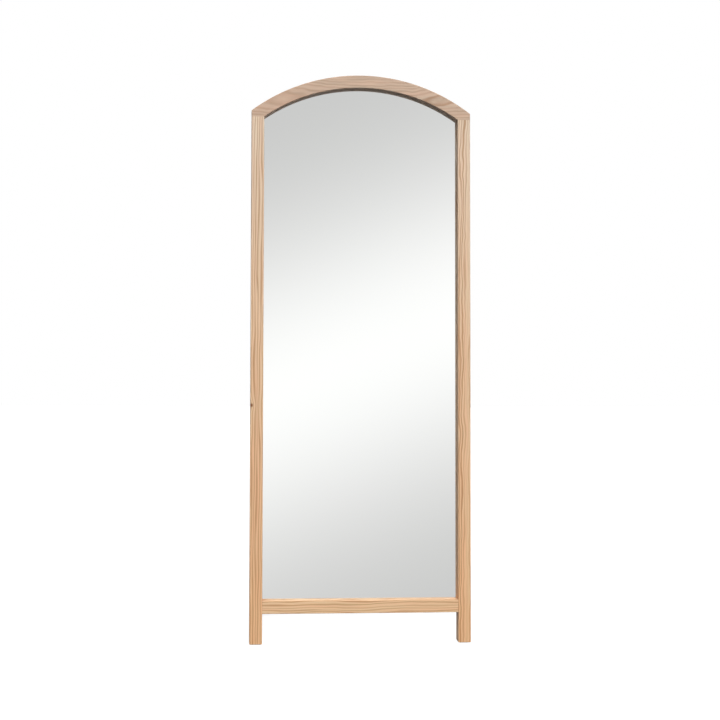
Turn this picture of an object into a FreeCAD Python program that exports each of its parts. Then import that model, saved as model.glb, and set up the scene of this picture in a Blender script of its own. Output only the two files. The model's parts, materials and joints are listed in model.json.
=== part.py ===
import FreeCAD, Part
import math
import os

# Arched floor mirror in pine. The glass sits in a rebated frame whose two stiles run down to the
# floor as the front feet. A rear stand is hinged to a rail across the back of the frame. It is
# held open by two stays, each a bar with a stud that slides in a slotted guide on the stile.
#
# Pieces are drawn in the frame's own directions: x across, v from the front face to the back, and
# w up along the stiles from the front floor line. The stand is drawn folded, flat behind the
# frame, then swung open about its hinge line. Last, everything is leaned back onto the floor.

# Overall sizes (mm, degrees)
frame_height = 1800.0           # along the front face, from the floor line to the crown
frame_width = 700.0
lean_angle = 5.0                # frame, back from upright
stand_angle = 12.0              # rear legs, back from upright

# Frame timber
stile_width = 40.0
frame_depth = 40.0
arch_width = 40.0
arch_inner_radius = 541.0
rail_height = 40.0
rail_lift = 96.0                # floor line to the underside of the bottom rail
edge_round = 1.5

# Glass and backing board, each in its own step of the rebate
lip_overlap = 8.0               # timber in front of the glass, all round
glass_thickness = 4.0
glass_side_gap = 1.5
glass_back_gap = 0.5
backing_thickness = 4.0
backing_ledge = 12.0
backing_side_gap = 1.0
backing_recess = 5.5            # backing board to the frame's back

# Hinge rail on the back of the stiles, and the stand that hangs from it
hinge_height = 1180.0           # w of the hinge line
hinge_rail_height = 45.0
hinge_rail_setback = 4.0        # from each outer side of the frame
hinge_line_gap = 3.0            # between hinge rail and stand
stand_side_inset = 49.0         # outer side of the frame to outer side of the stand
stand_thickness = 20.0
stand_fold_gap = 2.0            # between the folded stand and the frame
leg_width = 30.0
top_rail_height = 40.0
lower_rail_height = 35.0
lower_rail_drop = 900.0         # hinge line to the lower rail's top edge

# Butt hinges
hinge_inset = 81.0              # inner side of a leg to the middle of its hinge
hinge_length = 60.0
leaf_height = 24.0
leaf_thickness = 1.5
knuckle_radius = 3.0
knuckle_count = 5
hinge_pin_radius = 1.5

# Stays and their slotted guides
stay_length = 250.0             # pivot to stud, and hinge line to pivot
bar_width = 16.0
bar_thickness = 2.0
bar_side_gap = 1.0              # stand leg to bar
guide_side_gap = 0.6            # bar to guide
guide_thickness = 2.0
guide_margin = 12.0             # metal around the slot
guide_setback = 4.0             # from the outer side of the frame
stud_radius = 3.0
stud_head_radius = 5.5
stud_head_height = 2.0

# Dowels, screws and glides
dowel_radius = 4.0
dowel_depth = 24.0              # into each piece, where the timber is deep enough
arch_dowel_rise = 18.0          # into the end of the arch
leg_dowel_depth = 20.0
rail_dowel_inset = 11.0         # a rail's edge to the middle of its dowel
stile_dowel_insets = {"inner": 11.0, "outer": 15.0}
side_screws = {"count": 6, "from_rail": 90.0, "from_joint": 60.0}
bottom_screws = {"count": 3, "from_sides": 78.0}
arch_screws = {"count": 5, "from_sides": 58.0}
rail_screw_inset = 12.0
guide_screw_inset = 9.5
leaf_screw_inset = 9.0          # a leaf's outer edge to its screws
leaf_screw_count = 3
backing_screw = {"length": 14.0, "shank": 1.5, "head": 3.5, "head_height": 2.0}
hinge_screw = {"length": 16.0, "shank": 1.6, "head": 3.0, "head_height": 1.4}
guide_screw = {"length": 16.0, "shank": 1.75, "head": 3.5, "head_height": 2.0}
rail_screw = {"shank": 2.25, "head": 4.5, "head_height": 2.5}
rail_screw_bite = 28.0          # into the stile
pivot_screw_length = 18.0       # into the leg
pivot_thread_radius = 2.0
washer_thickness = 0.7
glide_thickness = 2.0
glide_inset = 4.0

# Fits
glue_fit = 0.05                 # radial, round a dowel or a screw
running_fit = 0.05              # radial, round a hinge pin or a stay pivot
part_gap = 0.3                  # between pieces that move past each other
hole_end_gap = 1.0
overshoot = 1.0                 # how far a cutting tool runs past a face

# Worked out from the sizes above
half_width = frame_width / 2
sight_half_width = half_width - stile_width
arch_outer_radius = arch_inner_radius + arch_width
arch_centre = frame_height - arch_outer_radius
joint_height = arch_centre + math.sqrt(arch_inner_radius**2 - sight_half_width**2)
rail_top = rail_lift + rail_height
backing_back = frame_depth - backing_recess
backing_front = backing_back - backing_thickness
glass_front = backing_front - glass_back_gap - glass_thickness
backing_rebate = lip_overlap + backing_ledge
stand_front = frame_depth + stand_fold_gap
stand_back = stand_front + stand_thickness
stand_top = hinge_height - hinge_line_gap / 2
hinge_rail_bottom = hinge_height + hinge_line_gap / 2
hinge_v = stand_back + knuckle_radius
fold_angle = lean_angle + stand_angle
half_stand = half_width - stand_side_inset
leg_inner = half_stand - leg_width

V = FreeCAD.Vector
across = V(1, 0, 0)
forward = V(0, -1, 0)
sides = {"left": -1, "right": 1}
parts = {}


def block(x_low, x_high, v_low, v_high, w_low, w_high):
    return Part.makeBox(x_high - x_low, v_high - v_low, w_high - w_low, V(x_low, v_low, w_low))


def rod(start, end, radius):
    return Part.makeCylinder(radius, (end - start).Length, start, end - start)


def mirrored(shape):
    return shape.mirror(V(0, 0, 0), across)


def unchanged(shape):
    return shape


hands = {"left": mirrored, "right": unchanged}     # pieces are drawn for the right side


def moved(shape, placement):
    result = shape.copy()
    result.Placement = placement.multiply(result.Placement)
    return result


def spread(low, high, count):
    return [low + (high - low) * i / (count - 1) for i in range(count)]


def eased(shape, chosen):
    edges = [edge for edge in shape.Edges if chosen(edge.BoundBox)]
    return shape.makeFillet(edge_round, edges)


def near(a, b):
    return abs(a - b) < 0.01


# Where the leaned-back frame stands: the footprint is centred on the origin, floor at z = 0
lean, splay = math.radians(lean_angle), math.radians(stand_angle)
hinge_y = hinge_v * math.cos(lean) + hinge_height * math.sin(lean)
hinge_z = hinge_height * math.cos(lean) - hinge_v * math.sin(lean)
leg_reach = (hinge_z - knuckle_radius * math.sin(splay) - glide_thickness) / math.cos(splay)
rear_y = hinge_y - knuckle_radius * math.cos(splay) + leg_reach * math.sin(splay)
front_y = glide_thickness * math.tan(lean)
centring = -(front_y + rear_y) / 2
leaning = FreeCAD.Placement(V(0, centring, 0), FreeCAD.Rotation(across, -lean_angle))
opening = FreeCAD.Placement(V(0, 0, 0), FreeCAD.Rotation(across, fold_angle), V(0, hinge_v, hinge_height))
opened_and_leaning = leaning.multiply(opening)
below_floor = 100.0
under_timber = block(-half_width, half_width, 2 * front_y + 2 * centring, -2 * centring + frame_depth,
                   -2 * below_floor, glide_thickness)


def arched_plate(half, radius, bottom, v_low, v_high):
    # Straight sides and bottom, with an arc about the arch's centre on top
    spring = arch_centre + math.sqrt(radius**2 - half**2)
    low_left, low_right = V(-half, v_low, bottom), V(half, v_low, bottom)
    top_left, top_right = V(-half, v_low, spring), V(half, v_low, spring)
    crown = V(0, v_low, arch_centre + radius)
    edges = [Part.makeLine(top_left, low_left), Part.makeLine(low_left, low_right),
             Part.makeLine(low_right, top_right), Part.Arc(top_right, crown, top_left).toShape()]
    return Part.Face(Part.Wire(edges)).extrude(V(0, v_high - v_low, 0))


def sight_plate(offset, drop, v_low, v_high):
    # The opening's own outline, grown by offset, with its bottom edge lowered by drop
    return arched_plate(sight_half_width + offset, arch_inner_radius + offset, rail_top - drop, v_low, v_high)


def screw(seat, inward, kind, sunk, grow=0.0):
    # A sunk head lies flush with the seat, and a pan head stands on it. grow makes the pilot hole.
    length = kind["length"] + (hole_end_gap if grow else 0.0)
    shank = rod(seat, seat + inward * length, kind["shank"] + grow)
    if sunk:
        head = Part.makeCone(kind["head"] + grow, kind["shank"] + grow, kind["head_height"], seat, inward)
        return shank.fuse(head).removeSplitter()
    if grow:
        return shank
    head = rod(seat - inward * kind["head_height"], seat, kind["head"])
    return shank.fuse(head).removeSplitter()


def screws(seats, inward, kind, sunk):
    # The screws as one group, and the holes that they need
    group = Part.makeCompound([screw(seat, inward, kind, sunk) for seat in seats])
    holes = Part.makeCompound([screw(seat, inward, kind, sunk, glue_fit) for seat in seats])
    return group, holes


def dowels(ends):
    # The dowels as one group, and their holes, each a little longer at both ends
    group = Part.makeCompound([rod(start, end, dowel_radius) for start, end in ends])
    holes = []
    for start, end in ends:
        extra = (end - start).normalize() * hole_end_gap
        holes.append(rod(start - extra, end + extra, dowel_radius + glue_fit))
    return group, Part.makeCompound(holes)


# Stay geometry. Hinge line, stay pivot and stud make a triangle with two equal sides, so the bar
# turns back by exactly as much as the leg swings, while the stud slides straight along the slot.
pivot_v = (stand_front + stand_back) / 2
pivot_drop = math.sqrt(stay_length**2 - (hinge_v - pivot_v) ** 2)
folded_slope = -math.asin((hinge_v - pivot_v) / stay_length)
open_slope = folded_slope + math.radians(fold_angle)
stud_drop_open = 2 * stay_length * math.cos(open_slope)
stud_drop_folded = 2 * stay_length * math.cos(folded_slope)
stud_drop_most = 2 * stay_length if folded_slope < 0 < open_slope else max(stud_drop_open, stud_drop_folded)
slot_top = hinge_height - min(stud_drop_open, stud_drop_folded)
slot_bottom = hinge_height - stud_drop_most
slot_half_width = stud_radius + part_gap
bar_inner = half_stand + bar_side_gap
bar_outer = bar_inner + bar_thickness
guide_inner = bar_outer + guide_side_gap
guide_outer = guide_inner + guide_thickness

# Fasteners of the frame, placed first because every piece is drilled for them
ledge_middle = lip_overlap + backing_ledge / 2
side_screw_heights = spread(rail_top + side_screws["from_rail"], joint_height - side_screws["from_joint"],
                            side_screws["count"])
backing_seats = [V(side * (sight_half_width + ledge_middle), backing_back, w)
                 for side in sides.values() for w in side_screw_heights]
bottom_reach = sight_half_width - bottom_screws["from_sides"]
backing_seats += [V(x, backing_back, rail_top - ledge_middle)
                  for x in spread(-bottom_reach, bottom_reach, bottom_screws["count"])]
arch_screw_radius = arch_inner_radius + ledge_middle
arch_reach = math.asin((half_width - arch_screws["from_sides"] - stile_width) / arch_screw_radius)
backing_seats += [V(arch_screw_radius * math.sin(turn), backing_back,
                    arch_centre + arch_screw_radius * math.cos(turn))
                  for turn in spread(-arch_reach, arch_reach, arch_screws["count"])]
backing_screws, backing_holes = screws(backing_seats, forward, backing_screw, sunk=False)

land_middle = half_width - (stile_width - backing_rebate) / 2    # the stile's back, beside the rebate
rail_screw["length"] = stand_back - frame_depth + rail_screw_bite
rail_seats = [V(side * land_middle, stand_back, w) for side in sides.values()
              for w in (hinge_rail_bottom + rail_screw_inset,
                        hinge_rail_bottom + hinge_rail_height - rail_screw_inset)]
hinge_rail_screws, rail_holes = screws(rail_seats, forward, rail_screw, sunk=True)

guide_low = slot_bottom - slot_half_width - guide_margin
guide_high = slot_top + slot_half_width + guide_margin
guide_seats = [V(side * land_middle, frame_depth + guide_thickness, w) for side in sides.values()
               for w in (guide_low + guide_screw_inset, guide_high - guide_screw_inset)]
stay_guide_screws, guide_holes = screws(guide_seats, forward, guide_screw, sunk=False)

dowel_v = glass_front / 2
stile_dowel_lines = [sight_half_width + stile_dowel_insets["inner"], half_width - stile_dowel_insets["outer"]]
frame_dowel_ends = [(V(side * x, dowel_v, joint_height - dowel_depth),
                     V(side * x, dowel_v, joint_height + arch_dowel_rise))
                    for side in sides.values() for x in stile_dowel_lines]
frame_dowel_ends += [(V(side * (sight_half_width - dowel_depth), dowel_v, w),
                      V(side * (sight_half_width + dowel_depth), dowel_v, w))
                     for side in sides.values()
                     for w in (rail_lift + rail_dowel_inset, rail_top - rail_dowel_inset)]
frame_dowels, frame_dowel_holes = dowels(frame_dowel_ends)

# Frame timber: one rebated ring, then parted into arch, stiles and bottom rail at the joints
ring = arched_plate(half_width, arch_outer_radius, -below_floor, 0, frame_depth)
ring = ring.cut(sight_plate(0, 0, -overshoot, frame_depth + overshoot))
ring = ring.cut(sight_plate(lip_overlap, lip_overlap, glass_front, frame_depth + overshoot))
ring = ring.cut(sight_plate(backing_rebate, backing_rebate, backing_front, frame_depth + overshoot))


def from_ring(x_low, x_high, w_low, w_high):
    stretch = block(x_low, x_high, -overshoot, frame_depth + overshoot, w_low, w_high)
    return ring.common(stretch).removeSplitter()


def arch_show_edge(box):
    # Every edge of the front face but those at the joints, and the outer edges of the back
    in_front = near(box.YMax, 0) and box.ZMax > joint_height + overshoot
    outer_back = near(box.YMin, frame_depth) and (near(box.XMax, half_width) or near(box.XMin, -half_width))
    return in_front or (outer_back and box.ZMax > joint_height + overshoot)


arch = from_ring(-half_width - overshoot, half_width + overshoot, joint_height, frame_height + overshoot)
arch = eased(arch, arch_show_edge).cut(frame_dowel_holes).cut(backing_holes)

rail = eased(from_ring(-sight_half_width, sight_half_width, rail_lift, rail_top),
             lambda box: near(box.YMin, box.YMax) and near(box.ZMin, box.ZMax)
             and (near(box.YMin, 0) or near(box.ZMin, rail_lift)))
rail = rail.cut(frame_dowel_holes).cut(backing_holes)


def stile_corner(box):
    upright = near(box.XMin, box.XMax) and near(box.YMin, box.YMax)
    at_a_side = near(box.XMin, half_width) or near(box.XMin, sight_half_width)
    on_a_face = near(box.YMin, 0) or near(box.YMin, frame_depth)
    return upright and on_a_face and at_a_side


stile = eased(from_ring(sight_half_width, half_width + overshoot, -below_floor, joint_height), stile_corner)
for name, piece in (("left_stile", mirrored(stile)), ("right_stile", stile)):
    drilled = piece.cut(frame_dowel_holes).cut(backing_holes).cut(rail_holes).cut(guide_holes)
    parts[name] = moved(drilled, leaning).cut(under_timber)

parts["arch_rail"] = moved(arch, leaning)
parts["bottom_rail"] = moved(rail, leaning)
parts["frame_dowels"] = moved(frame_dowels, leaning)

# Glass stands on the rebate's floor. The backing board is screwed to the step behind it.
glass_offset = lip_overlap - glass_side_gap
glass = sight_plate(glass_offset, lip_overlap, glass_front, glass_front + glass_thickness)
backing_offset = backing_rebate - backing_side_gap
backing = sight_plate(backing_offset, backing_offset, backing_front, backing_back).cut(backing_holes)
parts["mirror_glass"] = moved(glass, leaning)
parts["backing_panel"] = moved(backing, leaning)
parts["backing_screws"] = moved(backing_screws, leaning)

# Butt hinges: leaves on the back faces, knuckles in the gap between hinge rail and stand
hinge_middles = [hinge_inset - leg_inner, leg_inner - hinge_inset]
knuckle_pitch = hinge_length / knuckle_count
hinge_screw_pitch = hinge_length / leaf_screw_count
leaf_screw_height = leaf_height - leaf_screw_inset


def hinge_line(x):
    return V(x, hinge_v, hinge_height)


def leaf_seats(up):
    first = -hinge_screw_pitch * (leaf_screw_count - 1) / 2
    return [V(middle + x, stand_back + leaf_thickness, hinge_height + up * leaf_screw_height)
            for middle in hinge_middles for x in spread(first, -first, leaf_screw_count)]


def hinge_leaf(middle, up, holes):
    # up is 1 for the leaf on the frame, with the end knuckles, and -1 for the leaf on the stand
    start = middle - hinge_length / 2
    low, high = sorted((hinge_height, hinge_height + up * leaf_height))
    leaf = block(start, start + hinge_length, stand_back, stand_back + leaf_thickness, low, high)
    for i in range(knuckle_count):
        first, last = start + i * knuckle_pitch, start + (i + 1) * knuckle_pitch
        if (i % 2 == 0) == (up == 1):
            inner_first = first + (part_gap / 2 if i > 0 else 0)
            inner_last = last - (part_gap / 2 if i < knuckle_count - 1 else 0)
            leaf = leaf.fuse(rod(hinge_line(inner_first), hinge_line(inner_last), knuckle_radius))
        else:
            clear_first = first - (part_gap / 2 if i > 0 else overshoot)
            clear_last = last + (part_gap / 2 if i < knuckle_count - 1 else overshoot)
            leaf = leaf.cut(rod(hinge_line(clear_first), hinge_line(clear_last), knuckle_radius + part_gap))
    pin_hole = rod(hinge_line(start - overshoot), hinge_line(start + hinge_length + overshoot),
                   hinge_pin_radius + running_fit)
    return leaf.cut(pin_hole).cut(holes).removeSplitter()


frame_hinge_screws, frame_leaf_holes = screws(leaf_seats(1), forward, hinge_screw, sunk=True)
stand_hinge_screws, stand_leaf_holes = screws(leaf_seats(-1), forward, hinge_screw, sunk=True)
parts["frame_hinge_screws"] = moved(frame_hinge_screws, leaning)
parts["stand_hinge_screws"] = moved(stand_hinge_screws, opened_and_leaning)
for side, middle in zip(("left", "right"), hinge_middles):
    pin = rod(hinge_line(middle - hinge_length / 2), hinge_line(middle + hinge_length / 2), hinge_pin_radius)
    parts[side + "_hinge_frame_leaf"] = moved(hinge_leaf(middle, 1, frame_leaf_holes), leaning)
    parts[side + "_hinge_stand_leaf"] = moved(hinge_leaf(middle, -1, stand_leaf_holes), opened_and_leaning)
    parts[side + "_hinge_pin"] = moved(pin, leaning)

# Hinge rail, screwed to the backs of the stiles
rail_end = half_width - hinge_rail_setback
hinge_rail = block(-rail_end, rail_end, frame_depth, stand_back,
                   hinge_rail_bottom, hinge_rail_bottom + hinge_rail_height)
hinge_rail = eased(hinge_rail, lambda box: near(box.YMin, stand_back) and near(box.YMax, stand_back)
                   and box.ZMax > hinge_rail_bottom + overshoot)
parts["hinge_rail"] = moved(hinge_rail.cut(rail_holes).cut(frame_leaf_holes), leaning)
parts["hinge_rail_screws"] = moved(hinge_rail_screws, leaning)

# Stand timber: two legs with a rail at the top and one low down, dowelled together
lower_rail_top = hinge_height - lower_rail_drop
lower_rail_bottom = lower_rail_top - lower_rail_height
rail_dowel_heights = [stand_top - rail_dowel_inset, stand_top - top_rail_height + rail_dowel_inset,
                      lower_rail_top - rail_dowel_inset, lower_rail_bottom + rail_dowel_inset]
stand_dowel_ends = [(V(side * (leg_inner - dowel_depth), pivot_v, w),
                     V(side * (leg_inner + leg_dowel_depth), pivot_v, w))
                    for side in sides.values() for w in rail_dowel_heights]
stand_dowels, stand_dowel_holes = dowels(stand_dowel_ends)
parts["stand_dowels"] = moved(stand_dowels, opened_and_leaning)

pivot_point = V(half_stand, pivot_v, hinge_height - pivot_drop)
pivot_seat = pivot_point + across * (bar_side_gap + bar_thickness + part_gap)
pivot_screw = rod(pivot_point - across * pivot_screw_length, pivot_point, pivot_thread_radius)
pivot_screw = pivot_screw.fuse(rod(pivot_point, pivot_seat, stud_radius))
pivot_screw = pivot_screw.fuse(rod(pivot_seat, pivot_seat + across * stud_head_height, stud_head_radius))
pivot_hole = rod(pivot_point - across * (pivot_screw_length + hole_end_gap), pivot_point + across * overshoot,
                 pivot_thread_radius + glue_fit)
washer = rod(pivot_point, pivot_point + across * washer_thickness, bar_width / 2)
washer = washer.cut(rod(pivot_point, pivot_seat, stud_radius + running_fit))

leg = block(leg_inner, half_stand, stand_front, stand_back, hinge_height - leg_reach - below_floor, stand_top)
leg = eased(leg, lambda box: near(box.XMin, box.XMax) and near(box.YMin, box.YMax))
for side, shape in hands.items():
    drilled = shape(leg.cut(pivot_hole)).cut(stand_dowel_holes)
    parts[side + "_stand_leg"] = moved(drilled, opened_and_leaning).cut(under_timber)
    parts[side + "_stay_pivot"] = moved(shape(pivot_screw), opened_and_leaning)
    parts[side + "_stay_washer"] = moved(shape(washer), opened_and_leaning)


def stand_rail(top, height, holes):
    rail_block = block(-leg_inner, leg_inner, stand_front, stand_back, top - height, top)
    along = eased(rail_block, lambda box: near(box.YMin, box.YMax) and near(box.ZMin, box.ZMax))
    for hole in holes:
        along = along.cut(hole)
    return moved(along, opened_and_leaning)


parts["stand_top_rail"] = stand_rail(stand_top, top_rail_height, [stand_dowel_holes, stand_leaf_holes])
parts["stand_lower_rail"] = stand_rail(lower_rail_top, lower_rail_height, [stand_dowel_holes])

# Stays. The bar is drawn hanging straight down from the pivot, then turned to its open slope.
bar_end = bar_width / 2
bar = block(bar_inner, bar_outer, -bar_end, bar_end, -stay_length, 0)
for w in (0, -stay_length):
    bar = bar.fuse(rod(V(bar_inner, 0, w), V(bar_outer, 0, w), bar_end))
bar = bar.removeSplitter()
bar = bar.cut(rod(V(bar_inner - overshoot, 0, 0), V(bar_outer + overshoot, 0, 0), stud_radius + running_fit))
bar = bar.cut(rod(V(bar_inner - overshoot, 0, -stay_length), V(bar_outer + overshoot, 0, -stay_length),
                  stud_radius + glue_fit))
stud_seat = guide_outer + part_gap
stud = rod(V(bar_inner, 0, -stay_length), V(stud_seat, 0, -stay_length), stud_radius)
stud = stud.fuse(rod(V(stud_seat, 0, -stay_length), V(stud_seat + stud_head_height, 0, -stay_length),
                     stud_head_radius))
pivot_open = V(0, hinge_v + stay_length * math.sin(open_slope),
               hinge_height - stay_length * math.cos(open_slope))
stay_turn = FreeCAD.Rotation(across, -math.degrees(open_slope))
stay_placement = leaning.multiply(FreeCAD.Placement(pivot_open, stay_turn))

# Guides: an angle bracket on the back of each stile, with the slot in line with the hinge
guide_back = hinge_v + slot_half_width + guide_margin
guide = block(guide_inner, guide_outer, frame_depth, guide_back, guide_low, guide_high)
guide = guide.fuse(block(guide_inner, half_width - guide_setback, frame_depth, frame_depth + guide_thickness,
                         guide_low, guide_high))
guide = guide.removeSplitter().cut(guide_holes)
slot = block(guide_inner - overshoot, guide_outer + overshoot, hinge_v - slot_half_width,
             hinge_v + slot_half_width, slot_bottom, slot_top)
for w in (slot_bottom, slot_top):
    slot = slot.fuse(rod(V(guide_inner - overshoot, hinge_v, w), V(guide_outer + overshoot, hinge_v, w),
                         slot_half_width))
guide = guide.cut(slot)
for side, shape in hands.items():
    parts[side + "_stay_bar"] = moved(shape(bar), stay_placement)
    parts[side + "_slide_stud"] = moved(shape(stud.removeSplitter()), stay_placement)
    parts[side + "_stay_guide"] = moved(shape(guide), leaning)
parts["stay_guide_screws"] = moved(stay_guide_screws, leaning)

# Nylon glides under the four feet, a little smaller than the timber that they carry
for name in ("left_stile", "right_stile", "left_stand_leg", "right_stand_leg"):
    timber = parts[name]
    sole = min(timber.Faces, key=lambda face: face.CenterOfMass.z).BoundBox
    parts[name.replace("stile", "front") + "_glide"] = block(
        sole.XMin + glide_inset, sole.XMax - glide_inset, sole.YMin + glide_inset, sole.YMax - glide_inset,
        0, glide_thickness)

os.makedirs("parts", exist_ok=True)
for name, shape in parts.items():
    shape.exportStep("parts/" + name + ".step")
    print(name, len(shape.Solids), "solids", round(shape.Volume, 1), "mm3", shape.isValid())

hinge_world = leaning.multVec(V(0, hinge_v, hinge_height))
pivot_world = leaning.multVec(pivot_open)
print("hinge line through", tuple(round(value, 4) for value in hinge_world))
print("stay pivots on a line through", tuple(round(value, 4) for value in pivot_world))
print("stand folds by", fold_angle, "degrees; rear feet reach y =", round(rear_y + centring, 3))
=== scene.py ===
import json
import math

import bmesh
import bpy
from mathutils import Euler, Matrix, Vector

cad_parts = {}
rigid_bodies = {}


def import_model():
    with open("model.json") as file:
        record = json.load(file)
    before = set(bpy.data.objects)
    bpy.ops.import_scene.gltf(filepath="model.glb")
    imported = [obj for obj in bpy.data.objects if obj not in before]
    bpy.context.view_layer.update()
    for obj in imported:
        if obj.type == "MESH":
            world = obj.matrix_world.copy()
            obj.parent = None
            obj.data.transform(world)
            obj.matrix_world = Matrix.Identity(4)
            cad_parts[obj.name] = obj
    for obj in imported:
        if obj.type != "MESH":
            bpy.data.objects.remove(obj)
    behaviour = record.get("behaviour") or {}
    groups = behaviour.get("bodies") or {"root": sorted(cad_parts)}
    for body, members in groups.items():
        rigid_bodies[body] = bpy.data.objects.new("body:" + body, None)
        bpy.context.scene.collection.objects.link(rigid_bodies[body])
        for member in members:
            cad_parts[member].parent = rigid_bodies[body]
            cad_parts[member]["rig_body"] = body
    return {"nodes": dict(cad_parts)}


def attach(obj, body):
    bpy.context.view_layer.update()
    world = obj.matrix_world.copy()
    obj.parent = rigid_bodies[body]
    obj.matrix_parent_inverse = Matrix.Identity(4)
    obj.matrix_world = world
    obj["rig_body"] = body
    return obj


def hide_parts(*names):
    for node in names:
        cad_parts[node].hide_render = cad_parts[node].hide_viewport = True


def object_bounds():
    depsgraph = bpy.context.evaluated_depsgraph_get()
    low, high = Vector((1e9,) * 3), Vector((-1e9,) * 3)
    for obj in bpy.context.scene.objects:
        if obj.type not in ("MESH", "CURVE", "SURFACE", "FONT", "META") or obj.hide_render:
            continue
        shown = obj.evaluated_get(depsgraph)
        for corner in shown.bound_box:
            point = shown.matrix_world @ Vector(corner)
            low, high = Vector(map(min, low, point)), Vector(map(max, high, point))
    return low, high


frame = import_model()
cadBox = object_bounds()
nodes = frame["nodes"]
bodyOf = {name: obj["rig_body"] for name, obj in nodes.items()}
frameLean = math.radians(5)     # the frame leans back
legLean = math.radians(12)      # the rear legs lean the other way
print("frame loaded:", len(nodes), "parts")


class Sock:
    # Wraps a shader socket, so that sums are written as sums
    def __init__(self, tree, socket):
        self.tree = tree
        self.socket = socket

    def maths(self, operation, *values):
        return self.node("ShaderNodeMath", {"operation": operation}, *values)

    def node(self, kind, settings, *values, out=0, **named):
        return addNode(self.tree, kind, settings, *values, out=out, **named)

    def __add__(self, other):
        return self.maths("ADD", self, other)

    __radd__ = __add__

    def __sub__(self, other):
        return self.maths("SUBTRACT", self, other)

    def __rsub__(self, other):
        return self.maths("SUBTRACT", other, self)

    def __mul__(self, other):
        return self.maths("MULTIPLY", self, other)

    __rmul__ = __mul__

    def __truediv__(self, other):
        return self.maths("DIVIDE", self, other)

    def __pow__(self, other):
        return self.maths("POWER", self, other)


def setSocket(tree, socket, value):
    if isinstance(value, Sock):
        tree.links.new(value.socket, socket)
    else:
        socket.default_value = value


def addNode(tree, kind, settings, *values, out=0, **named):
    node = tree.nodes.new(kind)
    for key, value in settings.items():
        if key == "stops":
            fillRamp(node.color_ramp, value)
        else:
            setattr(node, key, value)
    shown = [socket for socket in node.inputs if socket.enabled]
    for socket, value in zip(shown, values):
        setSocket(tree, socket, value)
    for key, value in named.items():
        setSocket(tree, [s for s in shown if s.name == key.replace("_", " ")][0], value)
    if isinstance(out, str):
        return Sock(tree, node.outputs[out])
    return Sock(tree, [socket for socket in node.outputs if socket.enabled][out])


def fillRamp(ramp, stops):
    while len(ramp.elements) < len(stops):
        ramp.elements.new(0.5)
    for element, (place, colour) in zip(ramp.elements, stops):
        element.position = place
        element.color = (*colour, 1) if len(colour) == 3 else colour


def linear(red, green, blue):
    # A colour as seen on a screen, 0 to 255, as scene light
    def one(value):
        share = value / 255
        return share / 12.92 if share <= 0.04045 else ((share + 0.055) / 1.055) ** 2.4
    return one(red), one(green), one(blue), 1


def startMaterial(name):
    material = bpy.data.materials.new(name)
    material.use_nodes = True
    tree = material.node_tree
    tree.nodes.clear()
    output = tree.nodes.new("ShaderNodeOutputMaterial")
    surface = tree.nodes.new("ShaderNodeBsdfPrincipled")
    tree.links.new(surface.outputs[0], output.inputs["Surface"])
    return material, tree, surface


def setInputs(tree, surface, **inputs):
    for name, value in inputs.items():
        setSocket(tree, surface.inputs[name.replace("_", " ")], value)


def mixColour(tree, share, first, second, how="MIX"):
    settings = {"data_type": "RGBA", "blend_type": how, "clamp_factor": True}
    return addNode(tree, "ShaderNodeMix", settings, share, first, second)


def objectPoint(tree, turn=(0, 0, 0), shift=(0, 0, 0), scale=(1, 1, 1)):
    place = addNode(tree, "ShaderNodeTexCoord", {}, out=3)
    return addNode(tree, "ShaderNodeMapping", {"vector_type": "POINT"}, place, shift, turn, scale)


def splitPoint(tree, point):
    return [addNode(tree, "ShaderNodeSeparateXYZ", {}, point, out=i) for i in range(3)]


def joinPoint(tree, x, y, z):
    return addNode(tree, "ShaderNodeCombineXYZ", {}, x, y, z)


def noiseAt(tree, point, scale, detail=2.0, rough=0.5):
    # Even value noise, about -1 to 1
    value = addNode(tree, "ShaderNodeTexNoise", {"noise_dimensions": "3D"}, point,
                    Scale=scale, Detail=detail, Roughness=rough)
    return (value - 0.5) * 2


# Camera, floor and light. Brightnesses are shares of white.

cameraView = {
    "place": (-0.4798, -4.1984, 1.182),      # from the middle of the front feet
    "yaw": 4.232,           # degrees, towards +X
    "pitch": -2.707,
    "roll": 0.544,
    "lens": 68.05,
    "shift": (0.0694, -0.0403),
}
studio = {
    "floorSize": 14.0,
    "floorGlow": 0.84,      # of the floor's white, the rest is light that the object can shade
    "floorTone": 0.3,
    "silver": 0.88,         # share of light that the mirror gives back
    "bandLevel": 0.43,      # brightness of the pale band over the rest
    "restLevel": 0.575,
    "bandWidth": 0.123,
    "bandBase": 0.0625,     # the band's height above the horizon straight ahead, and its slope
    "bandSlope": 0.403,
    "zenithGuard": 0.0001,  # keeps the band's sum from dividing by nothing straight overhead
    "lobes": [              # direction, sharpness, strength
        ((0.2, -1, 0.95), 10, 6.1),
        ((0, -0.1, 1), 8, 1.1),
        ((0, 1, 0.5), 4, 2.3),
        ((1, 0.1, 0.5), 6, 0.3),
    ],
}


def makeCamera(values):
    camera = bpy.data.cameras.new("studioCamera")
    camera.lens = values["lens"]
    camera.shift_x, camera.shift_y = values["shift"]
    camera.clip_end = 100
    eye = bpy.data.objects.new("studioCamera", camera)
    turn = Matrix.Rotation(-math.radians(values["yaw"]), 4, "Z")
    turn @= Matrix.Rotation(math.radians(90 + values["pitch"]), 4, "X")
    turn @= Matrix.Rotation(math.radians(values["roll"]), 4, "Z")
    place = Vector(values["place"]) + Vector((0, cadBox[0].y, 0))
    eye.matrix_world = Matrix.Translation(place) @ turn
    bpy.context.scene.collection.objects.link(eye)
    bpy.context.scene.camera = eye


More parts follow.
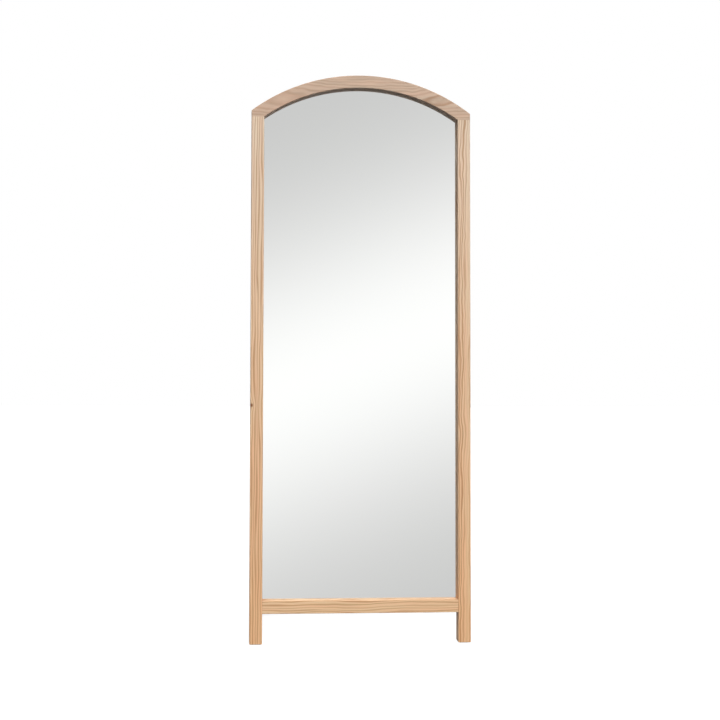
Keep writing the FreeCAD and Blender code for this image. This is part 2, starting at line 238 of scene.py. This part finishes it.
def makeFloor(values):
    half = values["floorSize"] / 2
    mesh = bpy.data.meshes.new("floor")
    corners = [(-half, -half, 0), (half, -half, 0), (half, half, 0), (-half, half, 0)]
    mesh.from_pydata(corners, [], [(0, 1, 2, 3)])
    floor = bpy.data.objects.new("floor", mesh)
    bpy.context.scene.collection.objects.link(floor)
    floor.visible_glossy = False
    floor.visible_diffuse = False
    material, tree, surface = startMaterial("floorPaper")
    tone, glow = values["floorTone"], values["floorGlow"]
    setInputs(tree, surface, Base_Color=(tone, tone, tone, 1), Roughness=1.0, Specular_IOR_Level=0.0,
              Emission_Color=(glow, glow, glow, 1), Emission_Strength=1.0)
    mesh.materials.append(material)


def makeLight(values):
    world = bpy.data.worlds.new("studio")
    bpy.context.scene.world = world
    world.use_nodes = True
    tree = world.node_tree
    tree.nodes.clear()
    ray = addNode(tree, "ShaderNodeTexCoord", {}, out=0)
    x, y, z = splitPoint(tree, ray)
    dome = 0.0
    for direction, sharpness, strength in values["lobes"]:
        aim = Vector(direction).normalized()
        facing = addNode(tree, "ShaderNodeVectorMath", {"operation": "DOT_PRODUCT"}, ray, tuple(aim))
        dome = facing.maths("MAXIMUM", facing, 0.0) ** sharpness * strength + dome
    # What polished things see: pale grey with a soft bright band that climbs to the right
    outward = (x * x + y * y + values["zenithGuard"]) ** 0.5
    offBand = (z - x * values["bandSlope"]) / outward - values["bandBase"]
    offBand = offBand / values["bandWidth"]
    bell = offBand.maths("EXPONENT", offBand * offBand * -1)
    seen = (bell * values["bandLevel"] + values["restLevel"]) / values["silver"]
    toCamera = addNode(tree, "ShaderNodeLightPath", {}, out="Is Camera Ray")
    afterMatt = addNode(tree, "ShaderNodeLightPath", {}, out="Diffuse Depth")
    toGloss = addNode(tree, "ShaderNodeLightPath", {}, out="Is Glossy Ray")
    toGloss = toGloss * (1 - afterMatt.maths("MINIMUM", afterMatt, 1.0))
    strength = toGloss * seen + (1 - toGloss) * dome
    strength = toCamera + (1 - toCamera) * strength
    background = addNode(tree, "ShaderNodeBackground", {}, (1, 1, 1, 1), strength)
    output = tree.nodes.new("ShaderNodeOutputWorld")
    tree.links.new(background.socket, output.inputs["Surface"])
    bpy.context.scene.view_settings.view_transform = "Standard"


makeCamera(cameraView)
makeFloor(studio)
makeLight(studio)
print("camera, floor and light made")


# Finishes. A turn lays the grain along a piece: z is along it, x and y across it.

upright = (frameLean, 0, 0)                        # grain up the frame
level = (frameLean, -math.pi / 2, 0)               # grain across the frame
uprightLeg = (-legLean, 0, 0)
levelLeg = (-legLean, -math.pi / 2, 0)

pineTone = {
    "foot": linear(228, 183, 139),
    "middle": linear(231, 195, 159),
    "top": linear(232, 209, 184),
    "footHeight": 0.1,
    "topHeight": 1.7,
    "earlywood": (1.13, 1.21, 1.22),
    "latewood": (0.76, 0.60, 0.49),
    "rosy": (1.09, 1.02, 1.02),
    "knotHeart": linear(140, 84, 50),
}
pineGrain = {           # how fast each layer changes, per metre across and along a board
    "wave": 6,
    "wideAcross": 90, "wideAlong": 1.5,
    "patches": (60, 9),
    "fibre": (620, 14),
    "pores": (1500, 90),
    "ringJitter": 60.0, "ringJitterAlong": 0.06, "ringJitterSize": 1.1,
    "yearStep": 3.7, "yearSpread": 1.3,
    "fibreShade": 0.10, "poreShade": 0.03, "wideShade": 0.06,
    "roughness": 0.52, "lateRoughness": 0.08, "fibreRoughness": 0.05,
    "bump": 0.25, "bumpHeight": 0.0006,
    "knotReach": 3.2, "knotPush": 1.3,      # in knot sizes: how far it bends the rings, and how much
    "knotDepth": 0.25, "knotLength": 0.6,   # stretch of the knot, squared, into and along the board
    "shine": 0.35,
}
plainBoard = {          # what a board has unless its own line says otherwise
    "waveRate": 1.6,
    "taper": 0.0,
    "contrast": 1.0,
    "tone": 0.99,
    "mottle": 0.07,
    "tint": (1.0, 1.0, 1.0),
}


def grainLayer(tree, across, depth, along, rates, detail):
    return noiseAt(tree, joinPoint(tree, across * rates[0], depth * rates[0], along * rates[1]), 1.0, detail)


def pineFinish(name, ownValues):
    # A solid log: rings about a far heart, warped along the grain, with fibres on top
    board = {**plainBoard, **ownValues}
    grain = pineGrain
    material, tree, surface = startMaterial(name)
    shift = Euler(board["turn"]).to_matrix() @ Vector((0, -cadBox[0].y, 0))     # from the front foot
    point = objectPoint(tree, turn=board["turn"], shift=shift)
    across, depth, along = splitPoint(tree, point)
    along = along + board["seed"]
    slow = joinPoint(tree, across * grain["wave"], depth * grain["wave"], along * board["waveRate"])
    wander = noiseAt(tree, slow, 1.0, 3.0, 0.55) * board["wander"]
    fromHeart = (across - board["heart"][0], depth - board["heart"][1])
    ringRadius = (fromHeart[0] * fromHeart[0] + fromHeart[1] * fromHeart[1]) ** 0.5
    ringRadius = ringRadius + wander + along * board["taper"]
    knotHeart = None
    if "knot" in board:
        side, deep, up = board["knot"]
        size = board["knotSize"]
        gap = (across - side) ** 2 + (depth - deep) ** 2 * grain["knotDepth"]
        gap = (gap + (along - board["seed"] - up) ** 2 * grain["knotLength"]) ** 0.5
        nearKnot = gap.maths("EXPONENT", gap * gap * (-1 / (grain["knotReach"] * size) ** 2))
        ringRadius = ringRadius + nearKnot * size * grain["knotPush"]
        knotHeart = gap.maths("EXPONENT", gap ** 4 * (-1 / size ** 4))
    bands = joinPoint(tree, ringRadius, 0.0, along * grain["ringJitterAlong"])
    jitter = noiseAt(tree, bands, grain["ringJitter"], 1.0)
    ringRadius = ringRadius + jitter * board["ring"] * grain["ringJitterSize"]
    count = ringRadius / board["ring"]
    season = count.maths("FRACT", count)
    year = joinPoint(tree, count.maths("FLOOR", count) * grain["yearStep"], 0.5, 0.5)
    strong = noiseAt(tree, year, 1.0, 0.0) * grain["yearSpread"] + 1.0
    late = addNode(tree, "ShaderNodeValToRGB", {"stops": [
        (0.0, (0.45, 0.45, 0.45)), (0.1, (0.0, 0.0, 0.0)), (0.45, (0.04, 0.04, 0.04)),
        (0.82, (1.0, 1.0, 1.0)), (1.0, (0.45, 0.45, 0.45))]}, season)
    late = addNode(tree, "ShaderNodeRGBToBW", {}, late) * strong * board["contrast"]
    wide = joinPoint(tree, ringRadius * grain["wideAcross"], 0.0, along * grain["wideAlong"])
    wide = noiseAt(tree, wide, 1.0, 2.0)
    patches = grainLayer(tree, across, depth, along, grain["patches"], 2.0)
    fibre = grainLayer(tree, across, depth, along, grain["fibre"], 3.0)
    pores = grainLayer(tree, across, depth, along, grain["pores"], 1.0)
    height = splitPoint(tree, addNode(tree, "ShaderNodeTexCoord", {}, out=3))[2]
    rise = (height - pineTone["footHeight"]) / (pineTone["topHeight"] - pineTone["footHeight"])
    tone = addNode(tree, "ShaderNodeValToRGB", {"stops": [
        (0.0, pineTone["foot"]), (0.5, pineTone["middle"]), (1.0, pineTone["top"])]}, rise)
    earlywood, rosy, latewood = [(*pineTone[key], 1) for key in ("earlywood", "rosy", "latewood")]
    tint = mixColour(tree, wide * 0.9 + patches * 0.5 + 0.5, earlywood, rosy)
    tint = mixColour(tree, late, tint, latewood)
    tone = mixColour(tree, 1.0, tone, tint, "MULTIPLY")
    shade = fibre * grain["fibreShade"] + pores * grain["poreShade"] + wide * grain["wideShade"]
    shade = shade + board["tone"] + patches * board["mottle"]
    red, green, blue = board["tint"]
    tone = mixColour(tree, 1.0, tone, joinPoint(tree, shade * red, shade * green, shade * blue), "MULTIPLY")
    if knotHeart is not None:
        tone = mixColour(tree, knotHeart, tone, pineTone["knotHeart"])
    bump = addNode(tree, "ShaderNodeBump", {}, Strength=grain["bump"], Distance=grain["bumpHeight"],
                   Height=fibre * 0.5 + pores * 0.3 - late * 0.4)
    rough = late * grain["lateRoughness"] + fibre * grain["fibreRoughness"] + grain["roughness"]
    setInputs(tree, surface, Base_Color=tone, Roughness=rough, Normal=bump,
              Specular_IOR_Level=grain["shine"])
    return material


mottling = {"fineRate": 6, "mottleShare": 0.5, "fineShare": 0.3, "mottleRough": 0.25, "fineRough": 0.15,
            "bumpHeight": 0.0003}


def mixedFinish(name, first, second, scale, rough, metal=0.0, brush=(1, 1, 1), turn=(0, 0, 0), bumpy=0.1):
    # Two tones in a soft mottle, with a finer layer for roughness and bump
    material, tree, surface = startMaterial(name)
    point = objectPoint(tree, turn=turn, scale=brush)
    mottle = noiseAt(tree, point, scale, 3.0)
    fine = noiseAt(tree, point, scale * mottling["fineRate"], 2.0)
    share = mottle * mottling["mottleShare"] + fine * mottling["fineShare"] + 0.5
    colour = mixColour(tree, share, first, second)
    bump = addNode(tree, "ShaderNodeBump", {}, Strength=bumpy, Distance=mottling["bumpHeight"],
                   Height=fine * 0.5 + mottle)
    uneven = mottle * mottling["mottleRough"] * rough + fine * mottling["fineRough"] * rough
    setInputs(tree, surface, Base_Color=colour, Metallic=metal, Normal=bump, Roughness=uneven + rough)
    return material


beech = mixedFinish("bareBeech", linear(214, 184, 148), linear(196, 160, 122), 60, 0.6, brush=(1, 1, 8))
hardboard = mixedFinish("hardboard", linear(158, 118, 82), linear(132, 94, 62), 90, 0.62, bumpy=0.25)
satinSteel = mixedFinish("satinSteel", linear(176, 177, 176), linear(150, 151, 151), 120, 0.33, metal=1.0,
                         brush=(1, 1, 14), turn=upright)
zincSteel = mixedFinish("zincPlate", linear(204, 200, 190), linear(178, 176, 170), 240, 0.27, metal=1.0)
nylon = mixedFinish("nylon", linear(226, 223, 212), linear(212, 208, 196), 160, 0.45)
glassEdge = mixedFinish("polishedGlassEdge", linear(120, 158, 140), linear(96, 136, 120), 80, 0.12)
mirrorPaint = mixedFinish("mirrorBackPaint", linear(112, 116, 112), linear(98, 102, 100), 70, 0.6)


silvering = {"hazeScale": 3.0, "roughness": 0.012, "hazeRoughness": 0.004,
             "clear": (1, 1, 0.99), "greenish": (0.985, 1, 0.985)}


def silverFinish():
    material, tree, surface = startMaterial("silveredGlass")
    haze = noiseAt(tree, objectPoint(tree), silvering["hazeScale"], 2.0)
    back = studio["silver"]
    clear, greenish = [(*[back * part for part in silvering[key]], 1) for key in ("clear", "greenish")]
    colour = mixColour(tree, haze * 0.5 + 0.5, clear, greenish)
    rough = haze * silvering["hazeRoughness"] + silvering["roughness"]
    setInputs(tree, surface, Base_Color=colour, Metallic=1.0, Roughness=rough)
    return material


silver = silverFinish()
print("finishes made")


# Pieces. Lengths are in metres and angles in degrees.

partFinish = {"weldGap": 0.00001, "flatAngle": 0.4, "smoothAngle": 32, "easedAngle": 50, "easingSteps": 2}


def applied(obj):
    # The object's modifiers, taken into its mesh
    bpy.context.view_layer.update()
    graph = bpy.context.evaluated_depsgraph_get()
    ready = obj.evaluated_get(graph)
    mesh = bpy.data.meshes.new_from_object(ready, preserve_all_data_layers=True, depsgraph=graph)
    obj.modifiers.clear()
    obj.data = mesh
    return obj


def newPiece(name, mesh):
    piece = bpy.data.objects.new(name, mesh)
    bpy.context.scene.collection.objects.link(piece)
    return piece


def finishedPart(node, finish, easing, worked=None):
    # A clean copy of a part, with its sharp corners eased and its round faces smooth
    shape = bmesh.new()
    shape.from_mesh(nodes[node].data)
    bmesh.ops.remove_doubles(shape, verts=shape.verts, dist=partFinish["weldGap"])
    bmesh.ops.dissolve_limit(shape, angle_limit=math.radians(partFinish["flatAngle"]),
                             verts=shape.verts, edges=shape.edges)
    if worked:
        worked(shape)
    mesh = bpy.data.meshes.new(node + "_finished")
    shape.to_mesh(mesh)
    shape.free()
    mesh.materials.clear()
    mesh.materials.append(finish)
    piece = newPiece(node + "_finished", mesh)
    mesh.shade_smooth()
    mesh.set_sharp_from_angle(angle=math.radians(partFinish["smoothAngle"]))
    if easing:
        bevel = piece.modifiers.new("easing", "BEVEL")
        bevel.width = easing
        bevel.segments = partFinish["easingSteps"]
        bevel.limit_method = "ANGLE"
        bevel.angle_limit = math.radians(partFinish["easedAngle"])
    normals = piece.modifiers.new("evenShading", "WEIGHTED_NORMAL")
    normals.keep_sharp = True
    applied(piece)
    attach(piece, bodyOf[node])
    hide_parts(node)
    return piece


stileEnds = {"chamfer": 0.0022, "rimHeight": 0.0004, "shortEdge": 0.004, "steps": 2}


def chamferFoot(shape):
    # Takes the sharp edge off the bottom of a stile
    low = min(vert.co.z for vert in shape.verts)
    top = low + stileEnds["rimHeight"]
    rim = [edge for edge in shape.edges if all(vert.co.z < top for vert in edge.verts)]
    rim = [edge for edge in rim if edge.calc_length() > stileEnds["shortEdge"]]
    bmesh.ops.bevel(shape, geom=rim, offset=stileEnds["chamfer"], segments=stileEnds["steps"],
                    affect="EDGES", clamp_overlap=True)


boards = {
    "left_stile": {"turn": upright, "seed": 2.0, "heart": (-0.19, 0.012), "ring": 0.0080, "wander": 0.008,
                   "waveRate": 2.6, "taper": 0.004, "knot": (-0.3465, 0.001, 0.748), "knotSize": 0.0046},
    "right_stile": {"turn": upright, "seed": 7.3, "heart": (0.20, 0.05), "ring": 0.0078, "wander": 0.015,
                    "waveRate": 5.0, "taper": -0.006},
    "arch_rail": {"turn": level, "seed": 4.1, "heart": (-1.72, -0.08), "ring": 0.0048, "wander": 0.010,
                  "waveRate": 5.0, "contrast": 0.5, "tone": 0.83, "mottle": 0.20,
                  "tint": (0.93, 0.85, 0.83)},
    "bottom_rail": {"turn": level, "seed": 5.2, "heart": (-0.24, 0.03), "ring": 0.0082, "wander": 0.010,
                    "waveRate": 3.6, "taper": 0.010, "tone": 0.99, "tint": (1.02, 1.12, 1.22)},
    "hinge_rail": {"turn": level, "seed": 8.8, "heart": (-1.30, -0.02), "ring": 0.0075, "wander": 0.008},
    "left_stand_leg": {"turn": uprightLeg, "seed": 1.2, "heart": (-0.21, 0.1), "ring": 0.0080, "wander": 0.006},
    "right_stand_leg": {"turn": uprightLeg, "seed": 3.4, "heart": (0.40, 0.1), "ring": 0.0085, "wander": 0.006},
    "stand_top_rail": {"turn": levelLeg, "seed": 6.6, "heart": (-1.05, 0.2), "ring": 0.0070, "wander": 0.006},
    "stand_lower_rail": {"turn": levelLeg, "seed": 9.1, "heart": (-0.20, 0.3), "ring": 0.0078, "wander": 0.006},
}
for node, board in boards.items():
    foot = chamferFoot if node.endswith("_stile") else None
    finishedPart(node, pineFinish(node + "_pine", board), easing=0.0005, worked=foot)
print("timber made")


fittings = {}     # part: finish, material slot, easing
for side in ("left", "right"):
    fittings[side + "_hinge_frame_leaf"] = (satinSteel, "satin_steel", 0.0002)
    fittings[side + "_hinge_stand_leaf"] = (satinSteel, "satin_steel", 0.0002)
    fittings[side + "_stay_bar"] = (satinSteel, "satin_steel", 0.0003)
    fittings[side + "_stay_guide"] = (satinSteel, "satin_steel", 0.0003)
    fittings[side + "_hinge_pin"] = (zincSteel, "zinc_steel", 0.0004)
    fittings[side + "_slide_stud"] = (zincSteel, "zinc_steel", 0.0005)
    fittings[side + "_stay_pivot"] = (zincSteel, "zinc_steel", 0.0005)
    fittings[side + "_stay_washer"] = (nylon, "nylon", 0.0001)
    fittings[side + "_front_glide"] = (nylon, "nylon", 0.0004)
    fittings[side + "_stand_leg_glide"] = (nylon, "nylon", 0.0004)
for node, (finish, slot, easing) in fittings.items():
    finishedPart(node, finish, easing)
for node in ("frame_dowels", "stand_dowels"):
    finishedPart(node, beech, 0.0006)
finishedPart("backing_panel", hardboard, 0.0003)
print("fittings made")


def glassPane():
    # Silvered on the face that shows, polished at the edges and painted at the back
    pane = finishedPart("mirror_glass", silver, 0.0)
    mesh = pane.data
    mesh.materials.append(glassEdge)
    mesh.materials.append(mirrorPaint)
    front = Vector((0, -math.cos(frameLean), math.sin(frameLean)))
    for face in mesh.polygons:
        facing = face.normal.dot(front)
        face.material_index = 0 if facing > 0.7 else 2 if facing < -0.7 else 1


glassPane()

# Head radius, head height over the seat, shank radius, length in the wood, and lean of the seat in radians
screwKinds = {
    "backing_screws": {"head": 0.0035, "rise": 0.002, "shank": 0.0015, "length": 0.014, "lean": frameLean},
    "stay_guide_screws": {"head": 0.0035, "rise": 0.002, "shank": 0.00175, "length": 0.016, "lean": frameLean},
    "frame_hinge_screws": {"head": 0.003, "rise": 0.0, "shank": 0.0016, "length": 0.016, "lean": frameLean},
    "stand_hinge_screws": {"head": 0.003, "rise": 0.0, "shank": 0.0016, "length": 0.016, "lean": -legLean},
    "hinge_rail_screws": {"head": 0.0045, "rise": 0.0, "shank": 0.00225, "length": 0.05, "lean": frameLean},
}
screwShape = {
    "steps": 20,
    "pitch": 0.0016, "thread": 0.82,        # the root of the thread is a share of the shank's radius
    "threadShare": 0.7,                     # of the length
    "tip": 0.5, "threadStart": 1.6,         # radius and height of the tip, in shank radii
    "panHead": [(1, 0), (1, 0.35), (0.86, 0.8), (0.5, 1), (0, 1)],      # in head radii and heights
    "sunkDepth": 0.0016, "sunkRim": 0.97, "sunkFlat": 0.95, "sunkEdge": 0.0001,
    "crossWidth": 0.22, "crossReach": 0.62,     # in head radii
    "crossDepth": 0.0011, "crossHead": 0.0035,  # depth of the cross in a head of this radius
    "crossOver": 0.0005,                        # how far its cutter runs past the head
    "smoothAngle": 35,
}


def lathe(name, profile, steps):
    # Turns (radius, height) points about Z into a closed solid
    shape = bmesh.new()
    rings = []
    for radius, height in profile:
        if radius < 0.00001:
            rings.append([shape.verts.new((0, 0, height))])
            continue
        angles = [2 * math.pi * i / steps for i in range(steps)]
        rings.append([shape.verts.new((radius * math.cos(angle), radius * math.sin(angle), height))
                      for angle in angles])
    for lower, upper in zip(rings, rings[1:]):
        for i in range(steps):
            after = (i + 1) % steps
            corners = [lower[i % len(lower)], lower[after % len(lower)],
                       upper[after % len(upper)], upper[i % len(upper)]]
            corners = [corner for k, corner in enumerate(corners) if corner not in corners[:k]]
            shape.faces.new(corners)
    bmesh.ops.recalc_face_normals(shape, faces=shape.faces)
    mesh = bpy.data.meshes.new(name)
    shape.to_mesh(mesh)
    shape.free()
    return newPiece(name, mesh)


def screwTemplate(name, kind):
    # One screw, its seat at z = 0 and its head up, with a cross cut into the head
    head, rise, shank, length = kind["head"], kind["rise"], kind["shank"], kind["length"]
    pitch = screwShape["pitch"]
    tip = -length
    profile = [(0, tip), (shank * screwShape["tip"], tip + shank)]
    for i in range(int((length * screwShape["threadShare"]) / pitch)):
        z = tip + shank * screwShape["threadStart"] + i * pitch
        profile += [(shank * screwShape["thread"], z), (shank, z + pitch * 0.5)]
    if rise:
        profile += [(shank, 0)] + [(head * out, rise * up) for out, up in screwShape["panHead"]]
    else:
        profile += [(shank, -screwShape["sunkDepth"]),
                    (head * screwShape["sunkRim"], -screwShape["sunkEdge"]),
                    (head * screwShape["sunkFlat"], 0), (0, 0)]
    screw = lathe(name, profile, screwShape["steps"])
    wide, reach = head * screwShape["crossWidth"] / 2, head * screwShape["crossReach"]
    over = screwShape["crossOver"]
    depth = screwShape["crossDepth"] * (head / screwShape["crossHead"])
    shape = bmesh.new()
    for turn in (0, math.pi / 2):
        place = Matrix.Translation((0, 0, rise + over)) @ Matrix.Rotation(turn, 4, "Z")
        size = Matrix.Diagonal((2 * reach, 2 * wide, 2 * (depth + over), 1))
        bmesh.ops.create_cube(shape, size=1.0, matrix=place @ size)
    mesh = bpy.data.meshes.new("cross")
    shape.to_mesh(mesh)
    shape.free()
    cross = newPiece("cross", mesh)
    cut = screw.modifiers.new("cross", "BOOLEAN")
    cut.operation = "DIFFERENCE"
    cut.solver = "EXACT"
    cut.use_self = True
    cut.object = cross
    applied(screw)
    bpy.data.objects.remove(cross)
    screw.data.shade_smooth()
    screw.data.set_sharp_from_angle(angle=math.radians(screwShape["smoothAngle"]))
    return screw


def screwSeats(node, outward):
    # Where each screw of a group sits: the far point of its head, along the way it faces
    shape = bmesh.new()
    shape.from_mesh(nodes[node].data)
    bmesh.ops.remove_doubles(shape, verts=shape.verts, dist=partFinish["weldGap"])
    left, seats = set(shape.verts), []
    while left:
        group, edge = set(), [min(left, key=lambda vert: vert.index)]
        while edge:
            vert = edge.pop()
            if vert not in group:
                group.add(vert)
                edge += [link.other_vert(vert) for link in vert.link_edges]
        left -= group
        top = max(vert.co.dot(outward) for vert in group)
        rim = [vert.co for vert in group if vert.co.dot(outward) > top - 2 * partFinish["weldGap"]]
        seats.append(sum(rim, Vector()) / len(rim))
    shape.free()
    return sorted(seats, key=lambda seat: (round(seat.z, 4), round(seat.x, 4)))


def screwTree():
    # Puts a screw on every point, facing one way, each turned by chance about its own axis
    tree = bpy.data.node_groups.new("screwsOnSeats", "GeometryNodeTree")
    sockets = {}
    for label, kind in (("Seats", "Geometry"), ("Screw", "Object"), ("Outward", "Vector"),
                        ("Seed", "Int"), ("Finish", "Material")):
        kind = "NodeSocket" + kind
        sockets[label] = tree.interface.new_socket(name=label, in_out="INPUT", socket_type=kind)
    tree.interface.new_socket(name="Screws", in_out="OUTPUT", socket_type="NodeSocketGeometry")
    given = tree.nodes.new("NodeGroupInput")
    inputs = {label: Sock(tree, given.outputs[label]) for label in sockets}
    screw = addNode(tree, "GeometryNodeObjectInfo", {"transform_space": "ORIGINAL"}, inputs["Screw"], out=4)
    facing = addNode(tree, "FunctionNodeAlignRotationToVector", {"axis": "Z"}, Vector=inputs["Outward"])
    chance = addNode(tree, "FunctionNodeRandomValue", {"data_type": "FLOAT"}, 0.0, math.pi,
                     Seed=inputs["Seed"])
    twist = addNode(tree, "FunctionNodeAxisAngleToRotation", {}, (0, 0, 1), chance)
    turned = addNode(tree, "FunctionNodeRotateRotation", {"rotation_space": "LOCAL"}, facing, twist)
    placed = addNode(tree, "GeometryNodeInstanceOnPoints", {}, inputs["Seats"],
                     Instance=screw, Rotation=turned)
    real = addNode(tree, "GeometryNodeRealizeInstances", {}, placed)
    finished = addNode(tree, "GeometryNodeSetMaterial", {}, real, Material=inputs["Finish"])
    leave = tree.nodes.new("NodeGroupOutput")
    tree.links.new(finished.socket, leave.inputs[0])
    return tree, {label: socket.identifier for label, socket in sockets.items()}


def makeScrews():
    tree, keys = screwTree()
    for number, (node, kind) in enumerate(screwKinds.items()):
        outward = Vector((0, math.cos(kind["lean"]), -math.sin(kind["lean"])))
        seats = [seat - outward * kind["rise"] for seat in screwSeats(node, outward)]
        mesh = bpy.data.meshes.new(node + "_finished")
        mesh.from_pydata(seats, [], [])
        piece = newPiece(node + "_finished", mesh)
        template = screwTemplate(node + "_template", kind)
        grower = piece.modifiers.new("screws", "NODES")
        grower.node_group = tree
        values = {"Screw": template, "Outward": outward, "Seed": number + 11, "Finish": zincSteel}
        for label, value in values.items():
            grower[keys[label]] = value
        applied(piece)
        bpy.data.objects.remove(template)
        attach(piece, bodyOf[node])
        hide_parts(node)
        print(node, len(seats), "screws,", len(piece.data.polygons), "faces")


makeScrews()

print("done")
